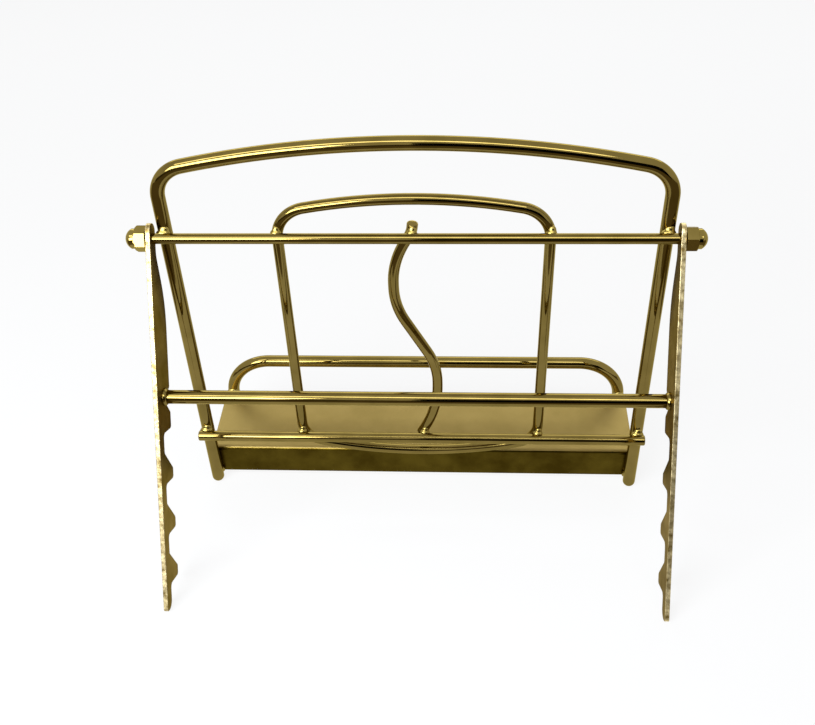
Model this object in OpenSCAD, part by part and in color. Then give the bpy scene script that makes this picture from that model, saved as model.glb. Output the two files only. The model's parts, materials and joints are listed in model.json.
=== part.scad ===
// Wire magazine stand: a leaning wire frame with a shelf on its front, and a
// notched prop frame hinged behind it. Millimetres. +Z is up, the shelf looks
// towards +Y, the prop frame stands towards -Y, and the origin lies on the
// floor under the middle of the object.

/* [Stand] */
// Lean of the wire frame from the vertical, in degrees
lean = 6; // [3:0.5:9]
// Depth by which welded wires are sunk into each other
weld_sink = 0.3; // [0.2:0.05:0.5]
// Hair by which every other stretch of a bent wire is slimmer in radius
splice = 0.012; // [0.01:0.001:0.02]
// Radius of a small weld bead
weld_r = 2.2; // [1.4:0.1:2.4]

/* [Outer hoop] */
// Spacing of the hoop's legs, centre to centre
frame_w = 240; // [210:1:300]
// Diameter of the hoop's wire
hoop_wire_d = 7; // [5.5:0.1:7.5]
// Height of the arch above the pivot rod
hoop_rise = 47.5; // [40:0.5:70]
// Length of the legs below the pivot rod
hoop_drop = 174.5; // [165:0.5:185]
// Radius of the arch
hoop_arch_r = 505; // [400:5:900]
// Radius of the arch's two corners
hoop_corner_r = 17; // [9:0.5:18]

/* [Inner loop] */
// Width of the loop, centre to centre
loop_w = 131; // [90:1:170]
// Diameter of the loop's wire, which the S wire shares
loop_wire_d = 5.5; // [4:0.1:6]
// Height of the loop's top above the pivot rod
loop_rise = 18.8; // [15:0.1:30]
// Radius of the loop's top
loop_arch_r = 275; // [200:5:500]
// Radius of the loop's top corners
loop_corner_r = 17; // [8:0.5:18]
// Depth of the loop's bowed foot below the lower crossbar
loop_foot = 14.3; // [12:0.1:16]
// Radius of the loop's bowed foot
loop_bow_r = 236; // [190:2:400]
// Radius of the loop's bottom corners
loop_foot_r = 14; // [8:0.5:16]

/* [S wire] */
// Slope of the S wire where it crosses the middle, in degrees
s_slope = 28; // [20:0.5:30]
// Length of the straight stretch across the middle
s_straight = 22.4; // [14:0.2:26]
// Radius of the two bends next to the middle
s_bend_r = 45; // [38:0.5:48]
// Radius of the long bends that run out to the ends
s_sweep_r = 71; // [60:0.5:75]
// Turn of each long bend, in degrees
s_sweep = 30; // [24:0.5:32]
// Height of the S wire's end above the pivot axis
s_end_rise = 5.5; // [4:0.1:7]
// Reach of the S wire's other end below the crossbar's axis
s_end_reach = 0.6; // [0.3:0.1:2]

/* [Rods] */
// Diameter of the pivot rod
pivot_rod_d = 5.2; // [4.5:0.1:6]
// Diameter of the lower crossbar
crossbar_d = 5.8; // [4.5:0.1:6.5]
// Depth of the lower crossbar below the pivot rod
crossbar_drop = 132.5; // [130:0.5:136]
// Overhang of the lower crossbar past the hoop's wire at each end
crossbar_overhang = 0.4; // [0:0.1:0.8]

/* [Shelf] */
// Depth of the shelf from the hoop's legs
shelf_depth = 48; // [42:0.5:75]
// Height of the flange that hangs down behind the legs
flange_h = 19; // [12:0.5:20]
// Thickness of the sheet
sheet_t = 1.2; // [0.8:0.1:1.6]
// Inner radius of the sheet's bend
sheet_bend_r = 1.2; // [0.6:0.1:2.5]
// Height of the shelf's top above the hoop's feet
shelf_rise = 23.5; // [22:0.1:26]
// Inset of the shelf's ends from the hoop's outer sides
shelf_inset = 2.5; // [1:0.1:3.2]

/* [Shelf rail] */
// Diameter of the rail's wire
rail_wire_d = 7; // [5:0.1:7.5]
// Height of the rail's centre line above the shelf
rail_h = 22.2; // [21.6:0.2:40]
// Radius of the rail's corners
rail_corner_r = 25; // [10:0.5:26]
// Reach of the rail's feet below the shelf's top
rail_foot = 4; // [3:0.1:8]

/* [Notched legs] */
// Gap between the hoop's wire and each notched leg
leg_side_gap = 1.5; // [1.2:0.1:4]
// Thickness of the strip
leg_t = 2.4; // [1.8:0.1:3.2]
// Full width of the strip
leg_w = 20.6; // [18:0.2:24]
// Width of the rounded eye at the top
eye_w = 9; // [8.4:0.1:10]
// Height of the eye's end above the pivot axis
eye_rise = 7.4; // [6:0.1:8]
// Slope of the flare below the eye, from the leg's own line, in degrees
flare_slope = 25; // [20:1:30]
// Radius of the flare's shoulder
shoulder_r = 58; // [45:1:62]
// Radius of the hollow between the eye and the flare
hollow_r = 12; // [8:1:16]
// Depth below the pivot at which the flare reaches full width
flare_drop = 46; // [44:1:60]
// Length of the leg below the pivot
leg_drop = 189.5; // [188:0.5:196]
// Distance between teeth
tooth_pitch = 26.5; // [25:0.1:27.5]
// Number of teeth
teeth = 4; // [2:1:4]
// Width of the strip left beside a notch
spine_w = 7.4; // [6.6:0.2:9]
// Depth of the first tooth's underside below the pivot
first_tooth_drop = 97.6; // [96:0.2:98]
// Length of a notch's floor
notch_floor = 10; // [8:0.2:11]
// Radius at the root of a notch
notch_root_r = 2.4; // [1.4:0.1:3]
// Slope of the ramp above a tooth, from the leg's own line, in degrees
ramp_slope = 50; // [46:1:58]
// Radius of a tooth's corners
tooth_corner_r = 1.5; // [0.4:0.1:1.8]
// Width of the strip left beside the relief above the first tooth
relief_w = 14.2; // [13.8:0.2:16]
// Depth of the relief's upper side below the pivot
relief_drop = 77; // [74:0.5:79]
// Length of the first tooth's tip
first_tip = 8.4; // [6:0.2:9]
// Radius of the foot's front corner
toe_r = 4.6; // [3:0.1:5.4]
// Radius of the foot's back corner
heel_r = 1.6; // [1:0.1:2]

/* [Leg cross rod] */
// Diameter of the rod between the notched legs
leg_rod_d = 7; // [5:0.1:7.1]
// Depth of this rod below the pivot
leg_rod_drop = 79.2; // [70:0.2:84]
// Distance of this rod's axis from the legs' back edges
leg_rod_inset = 10.6; // [8:0.1:10.6]
// Radius of the weld bead around each end of this rod
collar_r = 1.5; // [1:0.1:2]

/* [Acorn nuts] */
// Width across the nut's flats
nut_flats = 11.1; // [10:0.1:12.7]
// Height of the hexagon
nut_hex_h = 5.4; // [4:0.1:7]
// Diameter of the dome's base
dome_d = 9.8; // [9:0.1:10]
// Height of the dome above the hexagon
dome_h = 5; // [4.6:0.1:7]
// Radius of the dome's crown
crown_r = 5.5; // [5.1:0.1:7]
// Radius of the turned chamfer on the hexagon's corners
nut_chamfer_r = 8.5; // [8:0.1:12]
// Width across the hexagon's chamfered end
nut_face_d = 11.5; // [11.2:0.1:12]
// Length of rod thread inside each nut
thread_l = 7.6; // [6:0.1:8]

/* [Fits] */
// Radial clearance of the legs' holes on the pivot rod
pivot_clearance = 0.06; // [0.03:0.01:0.1]
// Radial clearance of the nuts on the rod's ends
thread_clearance = 0.05; // [0.02:0.01:0.08]
// Side clearance between each notched leg and its nut
nut_clearance = 0.15; // [0.1:0.05:0.3]

/* [Hidden] */
$fn = 48;

BRASS = [0.78, 0.66, 0.36];
SHEET = [0.66, 0.58, 0.38];
STRIP = [0.70, 0.62, 0.42];
WELD = [0.85, 0.74, 0.42];
SIDES = [-1, 1];
// Length by which stretches of wire and turned shapes run into each other
lap = 0.4;

// Places in the frame's own coordinates: the pivot axis is the origin, Z runs
// up along the frame and Y runs towards the shelf. The wires of the hoop, the
// loop and the S lie against the front of the two rods.
rod_front = pivot_rod_d / 2;
crossbar_y = rod_front - crossbar_d / 2;
hoop_y = rod_front + hoop_wire_d / 2 - weld_sink;
loop_y = rod_front + loop_wire_d / 2 - weld_sink;
flange_y = hoop_y + hoop_wire_d / 2 - weld_sink;
shelf_edge_y = flange_y + shelf_depth;
rail_y = shelf_edge_y + rail_wire_d / 2 - weld_sink;

hoop_outer = frame_w / 2 + hoop_wire_d / 2;
crossbar_w = 2 * (hoop_outer + crossbar_overhang);
loop_drop = crossbar_drop + loop_foot;
shelf_drop = hoop_drop - shelf_rise;
shelf_w = 2 * (hoop_outer - shelf_inset);
rail_w = shelf_w - rail_wire_d;
leg_inner_x = hoop_outer + leg_side_gap;
leg_outer_x = leg_inner_x + leg_t;
nut_x = leg_outer_x + nut_clearance;

// Half height of the S wire and the height of its middle
s_half = (s_end_rise + crossbar_drop + s_end_reach) / 2;
s_middle_z = s_end_rise - s_half;
// Straight stretch left at the widest point of each of its swings
s_crest = s_half - s_straight / 2 * cos(s_slope) - s_bend_r * sin(s_slope) - s_sweep_r * sin(s_sweep);
// Distance of its ends from the middle line
s_end_x = s_sweep_r * (1 - cos(s_sweep)) - s_bend_r * (1 - cos(s_slope))
    - s_straight / 2 * sin(s_slope);

// Both feet of the frame rest on the floor, which fixes the pivot's height.
pivot_z = (hoop_drop - hoop_wire_d / 2) * cos(lean) - hoop_y * sin(lean) + hoop_wire_d / 2;
// The toes of the notched legs rest on it too, which fixes the legs' angle.
toe_down = leg_drop - toe_r;
toe_out = spine_w - toe_r - eye_w / 2;
prop_angle = acos((pivot_z - toe_r) / norm([toe_down, toe_out])) + atan2(toe_out, toe_down);
// Back-most and front-most points, which place the origin in the middle
back_y = -(leg_drop - heel_r) * sin(prop_angle) - (eye_w / 2 - heel_r) * cos(prop_angle) - heel_r;
front_y = (rail_y + rail_wire_d / 2) * cos(lean) + (shelf_drop + rail_foot) * sin(lean);
pivot_y = -(front_y + back_y) / 2;

// Turn of an arch before its corner starts, in degrees
function arch_turn(half_w, arch_r, corner_r) = asin((half_w - corner_r) / (arch_r - corner_r));
// Height that an arch and its corner lose before the wire runs straight down
function arch_fall(half_w, arch_r, corner_r) =
    arch_r - (arch_r - corner_r) * cos(arch_turn(half_w, arch_r, corner_r));
// Points along an arc, from one angle to another
function arc(centre, r, from, to, steps = 6) =
    [for (i = [0:steps]) let (a = from + (to - from) * i / steps) centre + r * [cos(a), sin(a)]];

// Stands its children on the leaning frame, with the pivot axis as origin
module on_frame() translate([0, pivot_y, pivot_z]) rotate([lean, 0, 0]) children();

// Stands its children on the prop frame, with the pivot axis as origin
module on_prop() translate([0, pivot_y, pivot_z]) rotate([-prop_angle, 0, 0]) children();

// Moves its children to the end of a step of wire
module after(step)
    if (len(step) == 1)
        translate([step[0], 0, 0]) children();
    else
        translate([step[0] * sin(abs(step[1])), sign(step[1]) * step[0] * (1 - cos(step[1])), 0])
            rotate([0, 0, step[1]]) children();

// One step of wire, run on past both ends by the given lap
module wire_step(step, d, lap)
    if (len(step) == 1)
        translate([-lap, 0, 0]) rotate([0, 90, 0]) cylinder(h = step[0] + 2 * lap, d = d);
    else
        mirror([0, step[1] < 0 ? 1 : 0, 0]) translate([0, step[0], 0])
            rotate([0, 0, -90 - lap / step[0] * 180 / PI])
                rotate_extrude(angle = abs(step[1]) + 2 * lap / step[0] * 180 / PI, $fn = 72 + ceil(step[0]))
                    translate([step[0], 0]) circle(d = d);

// A wire in the XY plane that starts along +X. Each step is [length] for a
// straight stretch or [radius, turn] for a bend; a negative turn goes
// clockwise. Every other step, from the first or the second, is a hair slimmer
// and laps into its neighbours, so that the steps join as one solid.
module wire(steps, d, slim, i = 0)
    if (i < len(steps)) {
        wire_step(steps[i], i % 2 == slim ? d - 2 * splice : d, i % 2 == slim ? lap : 0);
        after(steps[i]) wire(steps, d, slim, i + 1);
    }

// A rod across the object, with its middle at the origin
module cross_rod(length, d) rotate([0, 90, 0]) cylinder(h = length, d = d, center = true);

module outer_hoop() {
    turn = arch_turn(frame_w / 2, hoop_arch_r, hoop_corner_r);
    foot_z = hoop_wire_d / 2 - hoop_drop;
    leg = hoop_rise - arch_fall(frame_w / 2, hoop_arch_r, hoop_corner_r) - foot_z;
    color(BRASS) on_frame() translate([0, hoop_y, foot_z]) {
        translate([-frame_w / 2, 0, 0]) rotate([90, 0, 0]) rotate([0, 0, 90])
            wire([[leg], [hoop_corner_r, turn - 90], [hoop_arch_r, -2 * turn],
                  [hoop_corner_r, turn - 90], [leg]], hoop_wire_d, 0);
        for (side = SIDES)
            translate([side * frame_w / 2, 0, 0]) sphere(d = hoop_wire_d);
    }
}

module inner_loop() {
    top_turn = arch_turn(loop_w / 2, loop_arch_r, loop_corner_r);
    foot_turn = arch_turn(loop_w / 2, loop_bow_r, loop_foot_r);
    foot_z = arch_fall(loop_w / 2, loop_bow_r, loop_foot_r) - loop_drop;
    leg = loop_rise - arch_fall(loop_w / 2, loop_arch_r, loop_corner_r) - foot_z;
    color(BRASS) on_frame() translate([-loop_w / 2, loop_y, foot_z]) rotate([90, 0, 0]) rotate([0, 0, 90])
        wire([[leg], [loop_corner_r, top_turn - 90], [loop_arch_r, -2 * top_turn],
              [loop_corner_r, top_turn - 90], [leg], [loop_foot_r, foot_turn - 90],
              [loop_bow_r, -2 * foot_turn], [loop_foot_r, foot_turn - 90]], loop_wire_d, 0);
}

module s_wire() {
    half = [[s_straight / 2], [s_bend_r, -s_slope], [s_crest], [s_sweep_r, -s_sweep]];
    color(BRASS) on_frame() translate([0, loop_y, s_middle_z]) rotate([90, 0, 0])
        for (turned = [0, 180])
            rotate([0, 0, turned + s_slope - 90]) wire(half, loop_wire_d, 0);
}

module pivot_rod() {
    color(BRASS) on_frame() cross_rod(2 * (nut_x + thread_l), pivot_rod_d);
}

module lower_crossbar() {
    color(BRASS) on_frame() translate([0, crossbar_y, -crossbar_drop])
        cross_rod(crossbar_w, crossbar_d);
}

// Beads of weld metal at the given places
module beads(places) for (place = places) translate(place) sphere(r = weld_r);

// Beads in the corner above each crossing of a wire and a rod
module frame_welds() {
    wires_x = [-frame_w / 2, -loop_w / 2, loop_w / 2, frame_w / 2];
    pivot_top = pivot_rod_d / 2;
    crossbar_top = crossbar_d / 2 - crossbar_drop;
    s_top_x = s_end_x - (s_end_rise - pivot_top) * tan(s_sweep);
    s_foot_x = -s_end_x + (crossbar_top + crossbar_drop + s_end_reach) * tan(s_sweep);
    color(WELD) on_frame() beads(concat(
        [for (x = concat(wires_x, [s_top_x])) [x, rod_front, pivot_top]],
        [for (x = concat(wires_x, [s_foot_x])) [x, rod_front, crossbar_top]]));
}

// A sheet bent to a flange and a shelf: the flange hangs behind the hoop's
// legs and the shelf runs forward from its top.
module shelf() {
    outer_r = sheet_bend_r + sheet_t;
    bend = [flange_y + outer_r, -shelf_drop - outer_r];
    profile = concat(
        [[flange_y, -shelf_drop - flange_h]],
        arc(bend, outer_r, 180, 90),
        [[shelf_edge_y, -shelf_drop], [shelf_edge_y, -shelf_drop - sheet_t]],
        arc(bend, sheet_bend_r, 90, 180),
        [[flange_y + sheet_t, -shelf_drop - flange_h]]);
    color(SHEET) on_frame() translate([-shelf_w / 2, 0, 0]) rotate([90, 0, 90])
        linear_extrude(shelf_w) polygon(profile);
}

// Beads between the hoop's legs and the foot of the flange
module shelf_welds() {
    color(WELD) on_frame() beads([for (side = SIDES)
        [side * (frame_w / 2 - weld_r), flange_y - weld_r / 2, weld_r - shelf_drop - flange_h]]);
}

// A rail whose feet are welded to the front edge of the shelf
module shelf_rail() {
    leg = rail_h - rail_corner_r + rail_foot;
    color(BRASS) on_frame() translate([-rail_w / 2, rail_y, -shelf_drop - rail_foot])
        rotate([90, 0, 0]) rotate([0, 0, 90])
            wire([[leg], [rail_corner_r, -90], [rail_w - 2 * rail_corner_r],
                  [rail_corner_r, -90], [leg]], rail_wire_d, 0);
}

// Beads on the shelf's edge at both sides of each foot of the rail
module rail_welds() {
    color(WELD) on_frame() for (side = SIDES)
        translate([side * rail_w / 2, shelf_edge_y, -shelf_drop])
            beads([for (i = SIDES) [i * weld_r, 0, 0]]);
}

// Outline of a notched leg. X runs from its straight back edge towards the
// teeth and Y runs up, with the pivot's height at zero.
function tooth_outline(y, tip, floor_w) =
    let (nominal = y + tip + (leg_w - floor_w) / tan(ramp_slope), half = tan(ramp_slope / 2))
    concat(
        arc([spine_w + notch_root_r, y - notch_root_r], notch_root_r, 180, 90),
        arc([leg_w - tooth_corner_r, y + tooth_corner_r], tooth_corner_r, 270, 360),
        arc([leg_w - tooth_corner_r, y + tip - tooth_corner_r * half], tooth_corner_r, 0, ramp_slope),
        arc([floor_w + notch_root_r, nominal + notch_root_r * half], notch_root_r,
            180 + ramp_slope, 180));

// The flare's straight side, extended to the eye's front side, ends here.
function flare_foot() =
    shoulder_r * sin(flare_slope) - flare_drop
    + (leg_w - shoulder_r * (1 - cos(flare_slope)) - eye_w) / tan(flare_slope);

function leg_outline() =
    let (usual_tip = tooth_pitch - notch_floor - (leg_w - spine_w) / tan(ramp_slope))
    concat(
        arc([heel_r, heel_r - leg_drop], heel_r, 180, 270),
        arc([spine_w - toe_r, toe_r - leg_drop], toe_r, 270, 360),
        [for (i = [teeth - 1:-1:0], p = tooth_outline(-first_tooth_drop - i * tooth_pitch,
            i == 0 ? first_tip : usual_tip, i == 0 ? relief_w : spine_w)) p],
        arc([relief_w + notch_root_r, -relief_drop - notch_root_r], notch_root_r, 180, 90),
        arc([leg_w - tooth_corner_r, tooth_corner_r - relief_drop], tooth_corner_r, 270, 360),
        arc([leg_w - shoulder_r, -flare_drop], shoulder_r, 0, flare_slope, 10),
        arc([eye_w + hollow_r, flare_foot() + hollow_r * tan(flare_slope / 2)], hollow_r,
            180 + flare_slope, 180),
        arc([eye_w / 2, eye_rise - eye_w / 2], eye_w / 2, 0, 180, 16));

module notched_leg(side) {
    color(STRIP) on_prop() difference() {
        translate([side < 0 ? -leg_outer_x : leg_inner_x, -eye_w / 2, 0]) rotate([90, 0, 90])
            linear_extrude(leg_t) polygon(leg_outline());
        cross_rod(2 * leg_outer_x + lap, pivot_rod_d + 2 * pivot_clearance);
    }
}

module left_notched_leg() notched_leg(-1);

module right_notched_leg() notched_leg(1);

// Moves its children to the axis of the rod between the notched legs
module at_leg_rod() on_prop() translate([0, leg_rod_inset - eye_w / 2, -leg_rod_drop]) children();

module leg_cross_rod() {
    color(BRASS) at_leg_rod() cross_rod(2 * leg_inner_x, leg_rod_d);
}

// A ring of weld metal around each end of the leg cross rod
module leg_rod_welds() {
    color(WELD) at_leg_rod() for (side = SIDES)
        translate([side * leg_inner_x, 0, 0]) rotate([0, 90, 0])
            rotate_extrude() translate([leg_rod_d / 2, 0]) circle(r = collar_r);
}

// A domed nut on the pivot rod's end, with two corners of its hexagon up and down
module acorn_nut(side) {
    chamfer_z = nut_hex_h - sqrt(pow(nut_chamfer_r, 2) - pow(nut_face_d / 2, 2));
    crown_z = nut_hex_h + dome_h - crown_r;
    color(BRASS) on_frame() translate([side * nut_x, 0, 0]) rotate([0, side * 90, 0]) difference() {
        union() {
            intersection() {
                cylinder(h = nut_hex_h, d = nut_flats / cos(30), $fn = 6);
                translate([0, 0, chamfer_z]) sphere(r = nut_chamfer_r);
            }
            intersection() {
                translate([0, 0, nut_hex_h - lap]) cylinder(h = dome_h + lap, d = dome_d);
                translate([0, 0, crown_z]) sphere(r = crown_r);
            }
        }
        translate([0, 0, -lap]) cylinder(h = thread_l + 2 * lap, d = pivot_rod_d + 2 * thread_clearance);
    }
}

module left_acorn_nut() acorn_nut(-1);

module right_acorn_nut() acorn_nut(1);

outer_hoop();
inner_loop();
s_wire();
pivot_rod();
lower_crossbar();
frame_welds();
shelf();
shelf_welds();
shelf_rail();
rail_welds();
left_notched_leg();
right_notched_leg();
leg_cross_rod();
leg_rod_welds();
left_acorn_nut();
right_acorn_nut();
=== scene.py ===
"""Looks of a brass-plated wire magazine stand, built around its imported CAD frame."""
import json
import math

import bmesh
import bpy
from mathutils import Matrix, Vector, noise


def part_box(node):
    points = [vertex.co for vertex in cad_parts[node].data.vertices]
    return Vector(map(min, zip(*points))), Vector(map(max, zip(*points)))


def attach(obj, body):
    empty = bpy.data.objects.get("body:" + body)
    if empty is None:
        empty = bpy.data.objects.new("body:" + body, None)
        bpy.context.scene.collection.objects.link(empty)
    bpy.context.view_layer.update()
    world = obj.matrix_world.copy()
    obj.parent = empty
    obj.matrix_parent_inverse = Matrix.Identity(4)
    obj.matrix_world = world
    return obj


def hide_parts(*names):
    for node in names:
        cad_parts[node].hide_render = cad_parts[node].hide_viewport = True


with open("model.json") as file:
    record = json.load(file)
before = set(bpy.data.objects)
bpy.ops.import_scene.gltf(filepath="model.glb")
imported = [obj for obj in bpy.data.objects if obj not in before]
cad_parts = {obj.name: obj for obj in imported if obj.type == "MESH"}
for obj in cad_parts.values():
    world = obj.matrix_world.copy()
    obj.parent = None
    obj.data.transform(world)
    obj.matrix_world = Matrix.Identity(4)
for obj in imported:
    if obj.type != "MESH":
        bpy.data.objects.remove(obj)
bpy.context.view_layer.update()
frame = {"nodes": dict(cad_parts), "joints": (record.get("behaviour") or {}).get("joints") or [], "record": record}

# ---------------------------------------------------------------- the frame's axes
MM = 0.001
mounts = {mount["name"]: mount for mount in frame["record"]["mounts"]}
pivot = Vector(frame["joints"][0]["pos_m"])
seat_up = Vector(mounts["magazine_seat"]["axis"])
notch_out = Vector(mounts["left_top_notch"]["axis"])
lean = math.atan2(-seat_up.y, seat_up.z)
prop_angle = math.atan2(-notch_out.z, notch_out.y)

# Places the leaning frame and the prop: the pivot axis is the origin, Z runs up
# along the part and Y runs towards the shelf.
ON_FRAME = Matrix.Translation(pivot) @ Matrix.Rotation(lean, 4, "X")
ON_PROP = Matrix.Translation(pivot) @ Matrix.Rotation(-prop_angle, 4, "X")


def node_size(node):
    """Size of a CAD node's box at rest, in metres."""
    low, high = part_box(node)
    return high - low


# ---------------------------------------------------------------- driving sizes, in metres
# Radii of the wires and rods: the hoop, the rail and the prop's rod are of thick
# wire, the loop and the S of fine wire. Welded wires sink into each other.
thick_r = node_size("leg_cross_rod").y / 2
fine_r = 2.75 * MM
rod_r = node_size("pivot_rod").y / 2
crossbar_r = node_size("lower_crossbar").y / 2
sink = 0.3 * MM

# Outer hoop
hoop_w = node_size("outer_hoop").x - 2 * thick_r
hoop_rise = 47.5 * MM
hoop_drop = 174.5 * MM
hoop_arch_r = 505 * MM
hoop_corner_r = 17 * MM

# Inner loop, whose bowed foot reaches below the lower crossbar
crossbar_drop = 132.5 * MM
loop_w = node_size("inner_loop").x - 2 * fine_r
loop_rise = 18.8 * MM
loop_arch_r = 275 * MM
loop_corner_r = 17 * MM
loop_drop = crossbar_drop + 14.3 * MM
loop_bow_r = 236 * MM
loop_foot_r = 14 * MM

# S wire, with its slopes and turns in degrees. Its upper end sweeps a little
# tighter than the lower one, then turns up to a short stub.
s_slope = 28
s_straight = 22.4 * MM
s_bend_r = 45 * MM
s_sweep = 30
s_sweep_r = 71 * MM
s_end_rise = 5.5 * MM
s_end_reach = 0.6 * MM
s_top_sweep = 33
s_top_r = 50 * MM
s_stub_turn = 27
s_stub_r = 14 * MM
s_stub = 2.1 * MM
s_stub_shift = 0.6 * MM

# Shelf and its rail
shelf_drop = hoop_drop - 23.5 * MM
shelf_depth = 48 * MM
flange_h = 19 * MM
rail_h = 22.2 * MM
rail_corner_r = 25 * MM
rail_foot = 4 * MM

# Cross rod between the notched legs, in the prop's own coordinates
leg_rod_drop = 79.2 * MM
leg_rod_out = 6.1 * MM

# Depths of the wires' middles and of the sheet's faces
hoop_y = rod_r + thick_r - sink
fine_y = rod_r + fine_r - sink
crossbar_y = rod_r - crossbar_r
flange_y = hoop_y + thick_r - sink
shelf_edge_y = flange_y + shelf_depth
rail_y = shelf_edge_y + thick_r - sink

# Across the object: the rail's width between its wires' middles, the inner side of
# the notched legs, and how far the ends of a point-symmetric S lie from the middle
rail_w = node_size("shelf_rail").x - 2 * thick_r
leg_inner_x = node_size("leg_cross_rod").x / 2
s_end_x = (s_sweep_r * (1 - math.cos(math.radians(s_sweep)))
           - s_bend_r * (1 - math.cos(math.radians(s_slope)))
           - s_straight / 2 * math.sin(math.radians(s_slope)))


# ---------------------------------------------------------------- mesh helpers
def finish_piece(piece, material, body, node):
    """Gives a piece its material, shading and body, and hides the node it stands for."""
    if material is not None:
        piece.data.materials.clear()
        piece.data.materials.append(material)
    for polygon in piece.data.polygons:
        polygon.use_smooth = True
    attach(piece, body)
    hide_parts(node)


def new_object(name, data):
    """An object of a mesh, a lamp or a camera, put in the scene."""
    made = bpy.data.objects.new(name, data)
    bpy.context.scene.collection.objects.link(made)
    return made


def new_piece(name, verts, faces, material, body, node):
    """Makes a smooth-shaded piece that rides on a body and stands for a CAD node."""
    mesh = bpy.data.meshes.new(name)
    mesh.from_pydata([tuple(v) for v in verts], [], faces)
    mesh.validate()
    piece = new_object(name, mesh)
    finish_piece(piece, material, body, node)
    return piece


def apply_modifiers(piece):
    """Turns a piece's modifiers into its mesh."""
    bpy.context.view_layer.update()
    evaluated = piece.evaluated_get(bpy.context.evaluated_depsgraph_get())
    mesh = bpy.data.meshes.new_from_object(evaluated)
    piece.modifiers.clear()
    piece.data = mesh


# ---------------------------------------------------------------- materials
# Scales of the noises, in cells per metre. Below DARK_END the plating has its dark
# colour, and above LIGHT_END its light one.
CLOUD_SCALE = 60
SMUDGE_SCALE = 210
RIPPLE_SCALE = 160
SCRATCH_SCALE = 2200
NOISE_ROUGHNESS = 0.55
DARK_END = 0.32
LIGHT_END = 0.68
RIPPLE_DEPTH = 1 * MM
SCRATCH_DEPTH = 0.1 * MM
RIM_TINT = (0.9, 0.82, 0.55)


def node_tree(name):
    """A new material's nodes, its links and its Principled shader."""
    material = bpy.data.materials.new(name)
    material.use_nodes = True
    nodes = material.node_tree.nodes
    return material, nodes, material.node_tree.links, nodes["Principled BSDF"]


def object_noise(nodes, links, scale, detail):
    """Noise in the object's own metres."""
    place = nodes.new("ShaderNodeTexCoord")
    texture = nodes.new("ShaderNodeTexNoise")
    texture.inputs["Scale"].default_value = scale
    texture.inputs["Detail"].default_value = detail
    texture.inputs["Roughness"].default_value = NOISE_ROUGHNESS
    links.new(place.outputs["Object"], texture.inputs["Vector"])
    return texture.outputs["Fac"]


def ramp(nodes, links, value, stops):
    """Colours along a value between 0 and 1."""
    node = nodes.new("ShaderNodeValToRGB")
    for element, (position, colour) in zip(node.color_ramp.elements, stops):
        element.position = position
        element.color = (*colour, 1)
    links.new(value, node.inputs["Fac"])
    return node.outputs["Color"]


def span(nodes, links, value, low, high):
    """Maps a value between 0 and 1 to the range from low to high."""
    node = nodes.new("ShaderNodeMapRange")
    node.inputs["To Min"].default_value = low
    node.inputs["To Max"].default_value = high
    links.new(value, node.inputs["Value"])
    return node.outputs["Result"]


def bump(nodes, links, value, strength, distance, before=None):
    """Bump from a value, on top of an earlier bump if there is one."""
    node = nodes.new("ShaderNodeBump")
    node.inputs["Strength"].default_value = strength
    node.inputs["Distance"].default_value = distance
    links.new(value, node.inputs["Height"])
    if before is not None:
        links.new(before, node.inputs["Normal"])
    return node.outputs["Normal"]


def brass(name, dark, light, rough, ripple, wear, rim=RIM_TINT, grain=CLOUD_SCALE):
    """Brass plating: a slightly cloudy colour, smudges, and a faint ripple under fine wear.
    The rim tints what the metal mirrors at a glancing angle."""
    material, nodes, links, shader = node_tree(name)
    shader.inputs["Metallic"].default_value = 1.0
    shader.inputs["Specular Tint"].default_value = (*rim, 1)
    clouds = object_noise(nodes, links, grain, 4)
    colour = ramp(nodes, links, clouds, [(DARK_END, dark), (LIGHT_END, light)])
    links.new(colour, shader.inputs["Base Color"])
    smudges = object_noise(nodes, links, SMUDGE_SCALE, 5)
    links.new(span(nodes, links, smudges, *rough), shader.inputs["Roughness"])
    ripples = object_noise(nodes, links, RIPPLE_SCALE, 2)
    soft = bump(nodes, links, ripples, ripple, RIPPLE_DEPTH)
    scratches = object_noise(nodes, links, SCRATCH_SCALE, 3)
    links.new(bump(nodes, links, scratches, wear, SCRATCH_DEPTH, soft), shader.inputs["Normal"])
    return material


wire_brass = brass("wire_brass", dark=(0.165, 0.119, 0.03), light=(0.215, 0.157, 0.044),
                   rough=(0.03, 0.09), ripple=0.007, wear=0.01)
sheet_brass = brass("sheet_brass", dark=(0.26, 0.19, 0.06), light=(0.3, 0.221, 0.073),
                    rough=(0.38, 0.48), ripple=0.03, wear=0.02)
# Painted shade: the flange's back is coloured far darker than the shelf, in place of the dark floor it mirrors.
flange_painted_shade = brass("flange_painted_shade", dark=(0.042, 0.026, 0.002), light=(0.09, 0.062, 0.007),
                     rough=(0.24, 0.34), ripple=0.03, wear=0.02)
strip_brass = brass("strip_brass", dark=(0.15, 0.108, 0.036), light=(0.3, 0.225, 0.084),
                    rough=(0.3, 0.44), ripple=0.04, wear=0.02, rim=(0.56, 0.48, 0.34))
cut_brass = brass("cut_brass", dark=(0.21, 0.145, 0.042), light=(0.84, 0.71, 0.4),
                  rough=(0.3, 0.55), ripple=0.3, wear=0.6, grain=330)
weld_brass = brass("weld_brass", dark=(0.23, 0.168, 0.042), light=(0.33, 0.25, 0.07),
                   rough=(0.2, 0.3), ripple=0.01, wear=0.01)
nut_brass = brass("nut_brass", dark=(0.2, 0.146, 0.036), light=(0.28, 0.21, 0.06),
                  rough=(0.06, 0.14), ripple=0.01, wear=0.02)

# ---------------------------------------------------------------- wires
# A wire has RING vertices round it, and a ring at about every STRETCH along it. In a
# bend the rings are also about STRETCH_TURN degrees apart, with four stretches at least.
RING = 40
STRETCH = 6 * MM
STRETCH_TURN = 3
LEAST_STRETCHES = 4
CAP_RINGS = 8
ROUNDED_END = 0.5 * MM


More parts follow.
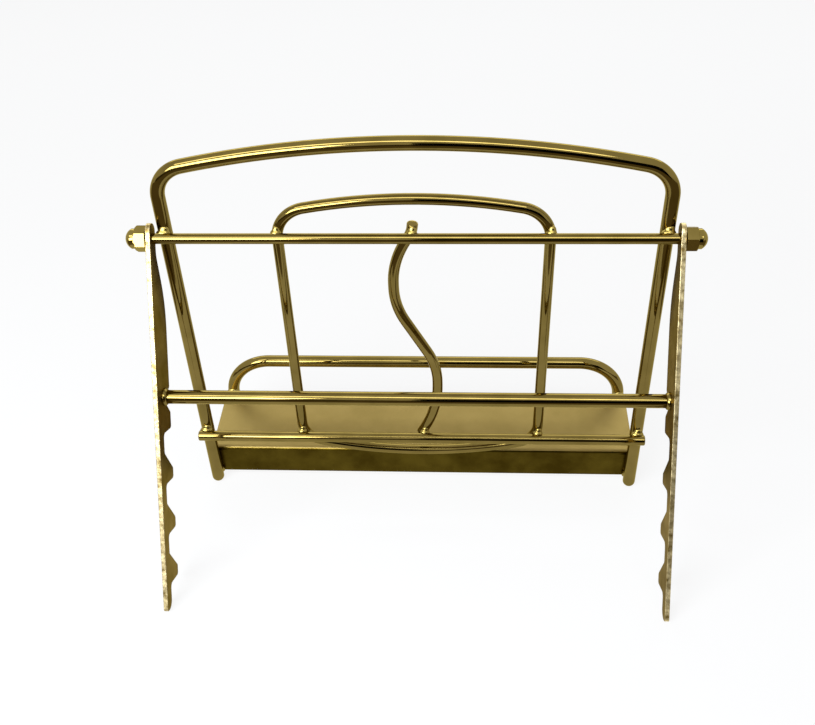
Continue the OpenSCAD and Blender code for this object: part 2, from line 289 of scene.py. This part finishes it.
def arch_turn(half_w, arch_r, corner_r):
    """Turn of an arch before its corner starts, in degrees."""
    return math.degrees(math.asin((half_w - corner_r) / (arch_r - corner_r)))


def arch_fall(half_w, arch_r, corner_r):
    """Height that an arch and its corner lose before the wire runs straight."""
    turn = math.radians(arch_turn(half_w, arch_r, corner_r))
    return arch_r - (arch_r - corner_r) * math.cos(turn)


def moved(point, distance):
    """A point of a wire (x, z, heading in degrees), moved along its heading."""
    x, z, heading = point
    angle = math.radians(heading)
    return x + distance * math.cos(angle), z + distance * math.sin(angle), heading


def wire_points(start, heading, steps):
    """Points along a bent wire in a plane: [length] is a straight stretch and
    [radius, turn] a bend, with a negative turn going clockwise."""
    points = [(*start, heading)]
    for step in steps:
        if len(step) == 1:
            count = max(1, round(step[0] / STRETCH))
            chord = step[0] / count
            turn = 0
        else:
            radius, bend = step
            angle = math.radians(abs(bend))
            count = max(LEAST_STRETCHES, round(abs(bend) / STRETCH_TURN), round(radius * angle / STRETCH))
            chord = 2 * radius * math.sin(angle / count / 2)
            turn = bend / count / 2
        for _ in range(count):
            x, z, heading = points[-1]
            x, z, heading = moved((x, z, heading + turn), chord)
            points.append((x, z, heading + turn))
    return points


def capped(points, radius, bulge):
    """Rings (x, z, heading, radius) of an open wire, with an edge of the given bulge
    rounded onto each end."""
    cap = []
    for k in range(1, CAP_RINGS + 1):
        angle = math.pi / 2 * k / CAP_RINGS
        cap.append((radius - bulge + bulge * math.cos(angle), bulge * math.sin(angle)))
    rings = [(*moved(points[0], bulge - rise), r) for r, rise in reversed(cap)]
    rings.append((*moved(points[0], bulge), radius))
    rings += [(*point, radius) for point in points[1:-1]]
    rings.append((*moved(points[-1], -bulge), radius))
    rings += [(*moved(points[-1], rise - bulge), r) for r, rise in cap]
    return rings


def sweep(points, radius, y, place, closed, bulge):
    """Vertices and faces of a round wire along points in the plane at depth y."""
    rings = [(*point, radius) for point in points[:-1]] if closed else capped(points, radius, bulge)
    verts = []
    for x, z, heading, r in rings:
        slope = math.radians(heading)
        for k in range(RING):
            angle = 2 * math.pi * k / RING
            out = r * math.cos(angle)
            local = Vector((x - out * math.sin(slope), y + r * math.sin(angle), z + out * math.cos(slope)))
            verts.append(place @ local)
    faces = []
    for i in range(len(rings) if closed else len(rings) - 1):
        a, b = i * RING, (i + 1) % len(rings) * RING
        for k in range(RING):
            n = (k + 1) % RING
            faces.append((a + k, b + k, b + n, a + n))
    if not closed:
        faces.append(tuple(range(RING)))
        faces.append(tuple(reversed(range(len(verts) - RING, len(verts)))))
    return verts, faces


def wire_piece(name, node, slot, points, radius, y, place=ON_FRAME, body="frame", closed=False,
               bulge=ROUNDED_END):
    """A piece made of one bent wire."""
    verts, faces = sweep(points, radius, y, place, closed, bulge)
    new_piece(name, verts, faces, wire_brass, body, node)


def straight_rod(name, node, slot, radius, y, z, **ends):
    """A piece made of one straight rod across the object."""
    length = node_size(node).x
    wire_piece(name, node, slot, wire_points((-length / 2, z), 0, [[length]]), radius, y, **ends)


def hoop():
    """The outer hoop: an arch on two long legs with round feet."""
    half = hoop_w / 2
    turn = arch_turn(half, hoop_arch_r, hoop_corner_r)
    leg = [hoop_rise - arch_fall(half, hoop_arch_r, hoop_corner_r) + hoop_drop]
    corner = [hoop_corner_r, turn - 90]
    points = wire_points((-half, -hoop_drop), 90, [leg, corner, [hoop_arch_r, -2 * turn], corner, leg])
    wire_piece("hoop", "outer_hoop", "hoop_wire", points, thick_r, hoop_y, bulge=thick_r)


def inner_loop():
    """The closed loop with a gently arched top and a bowed foot."""
    half = loop_w / 2
    top_turn = arch_turn(half, loop_arch_r, loop_corner_r)
    foot_turn = arch_turn(half, loop_bow_r, loop_foot_r)
    foot_z = arch_fall(half, loop_bow_r, loop_foot_r) - loop_drop
    leg = [loop_rise - arch_fall(half, loop_arch_r, loop_corner_r) - foot_z]
    top_corner = [loop_corner_r, top_turn - 90]
    foot_corner = [loop_foot_r, foot_turn - 90]
    steps = [leg, top_corner, [loop_arch_r, -2 * top_turn], top_corner, leg,
             foot_corner, [loop_bow_r, -2 * foot_turn], foot_corner]
    points = wire_points((-half, foot_z), 90, steps)
    wire_piece("scroll_loop", "inner_loop", "fine_wire", points, fine_r, fine_y, closed=True)


def s_curve():
    """The S wire in the middle of the loop, from its lower end up."""
    half = (s_end_rise + crossbar_drop + s_end_reach) / 2
    crest = [half - s_straight / 2 * math.cos(math.radians(s_slope))
             - s_bend_r * math.sin(math.radians(s_slope)) - s_sweep_r * math.sin(math.radians(s_sweep))]
    steps = [[s_sweep_r, s_sweep], crest, [s_bend_r, s_slope], [s_straight], [s_bend_r, -s_slope],
             crest, [s_top_r, -s_top_sweep], [s_stub_r, s_stub_turn], [s_stub]]
    points = wire_points((-s_end_x, s_end_rise - 2 * half), 90 - s_sweep, steps)
    wire_piece("s_curve", "s_wire", "fine_wire", points, fine_r, fine_y)


def rail():
    """The shelf's rail: a low U turned over, with its feet in front of the shelf's edge."""
    leg = [rail_h - rail_corner_r + rail_foot]
    corner = [rail_corner_r, -90]
    start = (-rail_w / 2, -shelf_drop - rail_foot)
    points = wire_points(start, 90, [leg, corner, [rail_w - 2 * rail_corner_r], corner, leg])
    wire_piece("rail", "shelf_rail", "hoop_wire", points, thick_r, rail_y)


hoop()
inner_loop()
s_curve()
straight_rod("hinge_rod", "pivot_rod", "fine_wire", rod_r, 0, 0)
straight_rod("crossbar", "lower_crossbar", "fine_wire", crossbar_r, crossbar_y, -crossbar_drop,
             bulge=0.6 * MM)
rail()
straight_rod("prop_rod", "leg_cross_rod", "hoop_wire", thick_r, leg_rod_out, -leg_rod_drop,
             place=ON_PROP, body="prop", bulge=0.2 * MM)

# ---------------------------------------------------------------- sheet and strip
EDGE_BEVEL = 0.25 * MM
CREASE = math.radians(35)
SAME_PLACE = 0.002 * MM
SAME_PLANE = math.radians(0.5)
LEVEL = math.cos(math.radians(1))
ACROSS = Vector((1, 0, 0))
# How far a face has to look backwards to count as the flange's back, and sideways
# to count as a strip's side
BACK_SHARE = 0.7
SIDE_SHARE = 0.5


def dressed_copy(name, node, body, materials, flats):
    """A copy of a CAD node with its sharp edges broken by a small bevel. Faces that
    look along one of the given flat directions stay flat, and the rest is smooth."""
    piece = new_object(name, frame["nodes"][node].data.copy())
    work = bmesh.new()
    work.from_mesh(piece.data)
    bmesh.ops.remove_doubles(work, verts=work.verts, dist=SAME_PLACE)
    bmesh.ops.dissolve_limit(work, angle_limit=SAME_PLANE, verts=work.verts, edges=work.edges)
    work.to_mesh(piece.data)
    work.free()
    bevel = piece.modifiers.new("edges", "BEVEL")
    bevel.width = EDGE_BEVEL
    bevel.segments = 2
    bevel.limit_method = "ANGLE"
    bevel.angle_limit = CREASE
    apply_modifiers(piece)
    piece.data.materials.clear()
    for material in materials:
        piece.data.materials.append(material)
    finish_piece(piece, None, body, node)
    for polygon in piece.data.polygons:
        polygon.use_smooth = all(abs(polygon.normal.dot(flat)) < LEVEL for flat in flats)
    return piece


def plate_and_flange():
    """The bent sheet: a satin shelf, and a flange against the legs whose back is darker: painted shade, standing
    for the dark floor that the back mirrors.
    """
    up = ON_FRAME.to_3x3() @ Vector((0, 0, 1))
    ahead = ON_FRAME.to_3x3() @ Vector((0, 1, 0))
    piece = dressed_copy("shelf_plate", "shelf", "frame", [sheet_brass, flange_painted_shade],
                         [up, ahead, ACROSS])
    for polygon in piece.data.polygons:
        # Faces that look backwards get the painted shade of the flange's back.
        polygon.material_index = 1 if polygon.normal.dot(ahead) < -BACK_SHARE else 0


def strip_leg(name, node):
    """A punched strip: satin sides, and cut edges that are rough and bright."""
    down = ON_PROP.to_3x3() @ Vector((0, 0, -1))
    out = ON_PROP.to_3x3() @ Vector((0, 1, 0))
    piece = dressed_copy(name, node, "prop", [strip_brass, cut_brass], [ACROSS, down, out])
    for polygon in piece.data.polygons:
        polygon.material_index = 0 if abs(polygon.normal.x) > SIDE_SHARE else 1


plate_and_flange()
strip_leg("left_strip", "left_notched_leg")
strip_leg("right_strip", "right_notched_leg")

# ---------------------------------------------------------------- domed nuts
leg_t = 2.4 * MM
nut_clearance = 0.15 * MM
nut_x = leg_inner_x + leg_t + nut_clearance
nut_flat_r = 5.55 * MM
nut_seat_r = nut_flat_r * 0.99
nut_hex_h = 5.4 * MM
nut_chamfer_r = 8.5 * MM
nut_face_r = 5.75 * MM
nut_fillet_r = 0.5 * MM
dome_r = 4.9 * MM
dome_h = 5 * MM
crown_r = 5.5 * MM
NUT_SIDES = 96
HEXAGON_STEPS = 16
FILLET_ANGLES = [math.radians(30), math.radians(60), math.radians(90)]
CROWN_STEPS = 14
SHARP = math.radians(18)
LEFT_NUT_TURN = math.radians(26)


def hexagon_radius(angle, turn):
    """Distance from the nut's axis to its hexagon, turned from two corners up and down."""
    turned = (angle - turn + math.pi / 6) % (math.pi / 3) - math.pi / 6
    return nut_flat_r / math.cos(abs(turned) - math.pi / 6)


def nut_profile():
    """Rings of a domed nut: distance from the leg, radius and whether it is a hexagon.
    After them comes the distance of the crown's tip."""
    rings = []
    chamfer_x = nut_hex_h - math.sqrt(nut_chamfer_r ** 2 - nut_face_r ** 2)
    for k in range(HEXAGON_STEPS + 1):
        x = nut_hex_h * k / HEXAGON_STEPS
        rings.append((x, math.sqrt(nut_chamfer_r ** 2 - (x - chamfer_x) ** 2), True))
    rings.append((nut_hex_h, nut_seat_r, False))
    rings.append((nut_hex_h, dome_r + nut_fillet_r, False))
    for angle in FILLET_ANGLES:
        rings.append((nut_hex_h + nut_fillet_r * (1 - math.cos(angle)),
                      dome_r + nut_fillet_r * (1 - math.sin(angle)), False))
    crown_x = nut_hex_h + dome_h - crown_r
    start = math.asin(dome_r / crown_r)
    for k in range(CROWN_STEPS):
        angle = start * (1 - k / CROWN_STEPS)
        rings.append((crown_x + crown_r * math.cos(angle), crown_r * math.sin(angle), False))
    return rings, crown_x + crown_r


def domed_nut(name, side, node, turn):
    """A hexagon nut with a chamfered end and a turned dome, closed at its crown."""
    rings, tip = nut_profile()
    verts = []
    for x, limit, six in rings:
        for k in range(NUT_SIDES):
            angle = 2 * math.pi * k / NUT_SIDES
            radius = min(limit, hexagon_radius(angle, turn)) if six else limit
            local = Vector((side * (nut_x + x), radius * math.sin(angle), radius * math.cos(angle)))
            verts.append(ON_FRAME @ local)
    verts.append(ON_FRAME @ Vector((side * (nut_x + tip), 0, 0)))
    faces = [tuple(range(NUT_SIDES))]
    for i in range(len(rings) - 1):
        for k in range(NUT_SIDES):
            a, b = i * NUT_SIDES + k, i * NUT_SIDES + (k + 1) % NUT_SIDES
            faces.append((a, a + NUT_SIDES, b + NUT_SIDES, b))
    last = (len(rings) - 1) * NUT_SIDES
    faces += [(last + k, len(verts) - 1, last + (k + 1) % NUT_SIDES) for k in range(NUT_SIDES)]
    if side > 0:
        faces = [tuple(reversed(face)) for face in faces]
    piece = new_piece(name, verts, faces, nut_brass, "frame", node)
    piece.data.set_sharp_from_angle(angle=SHARP)


domed_nut("left_cap_nut", -1, "left_acorn_nut", LEFT_NUT_TURN)
domed_nut("right_cap_nut", 1, "right_acorn_nut", 0)

# ---------------------------------------------------------------- welds
LUMPINESS = 0.05
LUMP_SCALE = 1.3
SEED_STEP = 3.7
MELT_VOXEL = 0.22 * MM
FLOW_STEPS = 30
COLLAR_LUMPS = 24


def blob(work, centre, radii, seed):
    """Adds a slightly lumpy ball of weld metal to a bmesh."""
    ball = bmesh.ops.create_icosphere(work, subdivisions=3, radius=1)
    for vert in ball["verts"]:
        lump = 1 + LUMPINESS * noise.noise(vert.co * LUMP_SCALE + Vector((seed, 0, 0)))
        vert.co = Vector(centre) + Vector(c * r * lump for c, r in zip(vert.co, radii))


def weld_piece(name, node, lumps, place=ON_FRAME, body="frame", material=weld_brass):
    """Weld metal from lumps (centre, radii), melted into each other."""
    mesh = bpy.data.meshes.new(name)
    work = bmesh.new()
    for i, (centre, radii) in enumerate(lumps):
        blob(work, centre, radii, SEED_STEP * i)
    work.transform(place)
    work.to_mesh(mesh)
    work.free()
    piece = new_object(name, mesh)
    melt = piece.modifiers.new("melt", "REMESH")
    melt.mode = "VOXEL"
    melt.voxel_size = MELT_VOXEL
    flow = piece.modifiers.new("flow", "SMOOTH")
    flow.iterations = FLOW_STEPS
    apply_modifiers(piece)
    finish_piece(piece, material, body, node)


def crossing_lumps(x, wire_r, wire_y, rod_top):
    """A low puddle between a rod's top and the back of a wire, and the bead that climbs the wire."""
    back = wire_y - wire_r
    puddle = (x, back - 0.1 * MM, rod_top - 0.9 * MM)
    puddle_radii = (1.02 * wire_r, 2.2 * MM, 2.0 * MM)
    bead = (x + 0.12 * wire_r, back + 0.6 * MM, rod_top + 0.5 * MM)
    bead_radii = (0.72 * wire_r, 1.6 * MM, 2.3 * MM)
    return [(puddle, puddle_radii), (bead, bead_radii)]


def frame_beads():
    """Welds where the hoop, the loop and the S wire cross the pivot rod and the crossbar."""
    s_top_x = s_end_x + s_stub_shift
    s_foot_x = -s_end_x + (crossbar_r + s_end_reach) * math.tan(math.radians(s_sweep))
    lumps = []
    for rod_top, s_x in ((rod_r, s_top_x), (crossbar_r - crossbar_drop, s_foot_x)):
        for x in (-hoop_w / 2, hoop_w / 2):
            lumps += crossing_lumps(x, thick_r, hoop_y, rod_top)
        for x in (-loop_w / 2, loop_w / 2, s_x):
            lumps += crossing_lumps(x, fine_r, fine_y, rod_top)
    weld_piece("frame_beads", "frame_welds", lumps)


def flange_beads():
    """A bead at each lower corner of the flange, against the hoop's leg."""
    bead_r = 2.2 * MM
    bead_depth = 2.0 * MM
    lumps = []
    for side in (-1, 1):
        centre = (side * (hoop_w / 2 - bead_r), flange_y - bead_r / 2, bead_r - shelf_drop - flange_h)
        lumps.append((centre, (bead_r, bead_depth, bead_r)))
    weld_piece("flange_beads", "shelf_welds", lumps)


def rail_beads():
    """Three small lumps where each foot of the rail meets the shelf's edge."""
    side_r = 1.6 * MM
    side_radii = (side_r, side_r, side_r)
    middle_radii = (1.9 * MM, 1.4 * MM, 1.7 * MM)
    ahead = 0.3 * MM
    lumps = []
    for side in (-1, 1):
        foot = Vector((side * rail_w / 2, shelf_edge_y, -shelf_drop))
        lumps.append((foot + Vector((-side_r, ahead, 0.2 * MM)), side_radii))
        lumps.append((foot + Vector((side_r, ahead, 0.2 * MM)), side_radii))
        lumps.append((foot + Vector((0, ahead, 0.6 * MM)), middle_radii))
    weld_piece("rail_beads", "rail_welds", lumps)


def collars():
    """A polished fillet round each end of the rod between the notched legs."""
    collar_x = leg_inner_x - 0.2 * MM
    radii = (2 * MM, 1.1 * MM, 1.1 * MM)
    lumps = []
    for side in (-1, 1):
        for k in range(COLLAR_LUMPS):
            angle = 2 * math.pi * k / COLLAR_LUMPS
            centre = (side * collar_x, leg_rod_out + thick_r * math.cos(angle),
                      -leg_rod_drop + thick_r * math.sin(angle))
            lumps.append((centre, radii))
    weld_piece("collars", "leg_rod_welds", lumps, ON_PROP, "prop", wire_brass)


frame_beads()
flange_beads()
rail_beads()
collars()

# ---------------------------------------------------------------- floor, boards and world
WHITE = (1, 1, 1, 1)
FLOOR_COLOUR = (0.86, 0.86, 0.86, 1)
FLOOR_REACH = 15
# Share of white in the floor where it is seen directly, and the room's brightness
# where it isn't
FLOOR_GLOW = 0.86
ROOM_LIGHT = 0.2


def card(name, low, high, material):
    """A flat stage card between two opposite corners, lying on the floor or standing up."""
    (x0, y0, z0), (x1, y1, z1) = low, high
    if z0 == z1:
        corners = [(x0, y0, z0), (x1, y0, z0), (x1, y1, z0), (x0, y1, z0)]
    else:
        corners = [(x0, y0, z0), (x1, y1, z0), (x1, y1, z1), (x0, y0, z1)]
    mesh = bpy.data.meshes.new(name)
    mesh.from_pydata(corners, [], [(0, 1, 2, 3)])
    board = new_object(name, mesh)
    board.data.materials.append(material)
    return board


def dark_card(name, low, high, material):
    """A card that only darkens what polished metal mirrors: it takes no light away."""
    board = card(name, low, high, material)
    board.visible_camera = False
    board.visible_diffuse = False
    board.visible_shadow = False


def seen_directly(nodes, links):
    """1 for rays from the camera, a mirror or clear glass, else 0."""
    path = nodes.new("ShaderNodeLightPath")
    either = nodes.new("ShaderNodeMath")
    either.operation = "MAXIMUM"
    links.new(path.outputs["Is Camera Ray"], either.inputs[0])
    links.new(path.outputs["Is Glossy Ray"], either.inputs[1])
    whole = nodes.new("ShaderNodeMath")
    whole.operation = "MAXIMUM"
    links.new(either.outputs[0], whole.inputs[0])
    links.new(path.outputs["Is Transmission Ray"], whole.inputs[1])
    return whole.outputs[0]


def floor_material():
    """Pale floor that fades into the white background and keeps a soft shadow."""
    material, nodes, links, shader = node_tree("pale_floor")
    shader.inputs["Base Color"].default_value = FLOOR_COLOUR
    shader.inputs["Roughness"].default_value = 0.9
    glow = nodes.new("ShaderNodeEmission")
    mix = nodes.new("ShaderNodeMixShader")
    share = span(nodes, links, seen_directly(nodes, links), 0, FLOOR_GLOW)
    links.new(share, mix.inputs["Fac"])
    links.new(shader.outputs["BSDF"], mix.inputs[1])
    links.new(glow.outputs["Emission"], mix.inputs[2])
    links.new(mix.outputs["Shader"], nodes["Material Output"].inputs["Surface"])
    return material


def board_material(name, colour):
    """Plain board of one colour that doesn't depend on the lamps."""
    material, nodes, links, _ = node_tree(name)
    glow = nodes.new("ShaderNodeEmission")
    glow.inputs["Color"].default_value = (*colour, 1)
    links.new(glow.outputs["Emission"], nodes["Material Output"].inputs["Surface"])
    return material


def build_world():
    """A dim, even room with a white background."""
    world = bpy.data.worlds.new("room")
    world.use_nodes = True
    nodes, links = world.node_tree.nodes, world.node_tree.links
    background = nodes["Background"]
    strength = span(nodes, links, seen_directly(nodes, links), ROOM_LIGHT, 1)
    links.new(strength, background.inputs["Strength"])
    background.inputs["Color"].default_value = WHITE
    bpy.context.scene.world = world


# ---------------------------------------------------------------- lamps
DAYLIGHT = (0.9, 0.94, 1)
LAMP_AIM = Vector((0, 0, 0.1))


def softbox(name, place, size_x, size_y, radiance):
    """A soft rectangular lamp of the given brightness that faces the object."""
    lamp = bpy.data.lights.new(name, "AREA")
    lamp.shape = "RECTANGLE"
    lamp.size = size_x
    lamp.size_y = size_y
    lamp.color = DAYLIGHT
    lamp.energy = math.pi * radiance * size_x * size_y
    holder = new_object(name, lamp)
    holder.location = place
    holder.rotation_euler = (LAMP_AIM - Vector(place)).to_track_quat("-Z", "Y").to_euler()
    holder.visible_camera = False


build_world()
card("floor", (-FLOOR_REACH, -FLOOR_REACH, 0), (FLOOR_REACH, FLOOR_REACH, 0), floor_material())
softbox("key_softbox", place=(-0.40, -0.60, 0.42), size_x=0.52, size_y=0.27, radiance=18)
softbox("top_softbox", place=(-0.12, -0.48, 0.82), size_x=1.1, size_y=0.17, radiance=7.2)
softbox("far_softbox", place=(0, 1.1, 0.75), size_x=2.0, size_y=0.3, radiance=3.6)

# Boards that stand for the darker parts of a room, seen only as reflections: three
# lie just above the floor, before and beside the object, and two stand behind the
# camera and meet edge to edge.
brown = board_material("brown_board", (0.26, 0.205, 0.12))
umber = board_material("umber_board", (0.11, 0.085, 0.045))
black = board_material("black_board", (0.006, 0.005, 0.004))
REACH = 1.8
LIFT = 0.002
NEAR_Y = -0.16
FAR_Y = 0.05
SIDE_X = 0.28
STANDING_Y = -0.62
MEETING_X = -0.03
BLACK_END_X = 0.75
BLACK_TOP = 0.46
UMBER_TOP = 0.20
dark_card("near_board", (-REACH, -REACH, LIFT), (REACH, NEAR_Y, LIFT), brown)
dark_card("left_board", (-REACH, NEAR_Y, LIFT), (-SIDE_X, FAR_Y, LIFT), brown)
dark_card("right_board", (SIDE_X, NEAR_Y, LIFT), (REACH, FAR_Y, LIFT), brown)
dark_card("black_card", (MEETING_X, STANDING_Y, LIFT), (BLACK_END_X, STANDING_Y, BLACK_TOP), black)
dark_card("umber_card", (-REACH, STANDING_Y, LIFT), (MEETING_X, STANDING_Y, UMBER_TOP), umber)

# ---------------------------------------------------------------- camera
# Focal length and image width in pixels, sensor width in millimetres, and where the
# camera sees the pivot's middle: to the right, ahead and up
FOCAL_PX = 1045.89
IMAGE_W_PX = 815
SENSOR_W = 36
NEAR_CLIP = 0.01
PITCH = math.radians(34.7)
YAW = math.radians(-3.95)
ROLL = math.radians(-1.86)
PIVOT_SEEN = Vector((2.33, 495.38, 58.64)) * MM


def build_camera():
    """The camera: its place and turn come from a fit of the view."""
    tip = Matrix.Rotation(PITCH, 3, "X")
    spin = Matrix.Rotation(ROLL, 3, "Y")
    to_camera = spin @ tip @ Matrix.Rotation(YAW, 3, "Z")
    data = bpy.data.cameras.new("camera")
    data.sensor_width = SENSOR_W
    data.lens = FOCAL_PX * SENSOR_W / IMAGE_W_PX
    data.clip_start = NEAR_CLIP
    holder = new_object("camera", data)
    right, ahead, up = (Vector(row) for row in to_camera)
    turned = Matrix((right, up, -ahead)).transposed()
    place = pivot - to_camera.transposed() @ PIVOT_SEEN
    holder.matrix_world = Matrix.Translation(place) @ turned.to_4x4()
    bpy.context.scene.camera = holder


build_camera()
bpy.context.scene.view_settings.view_transform = "Standard"
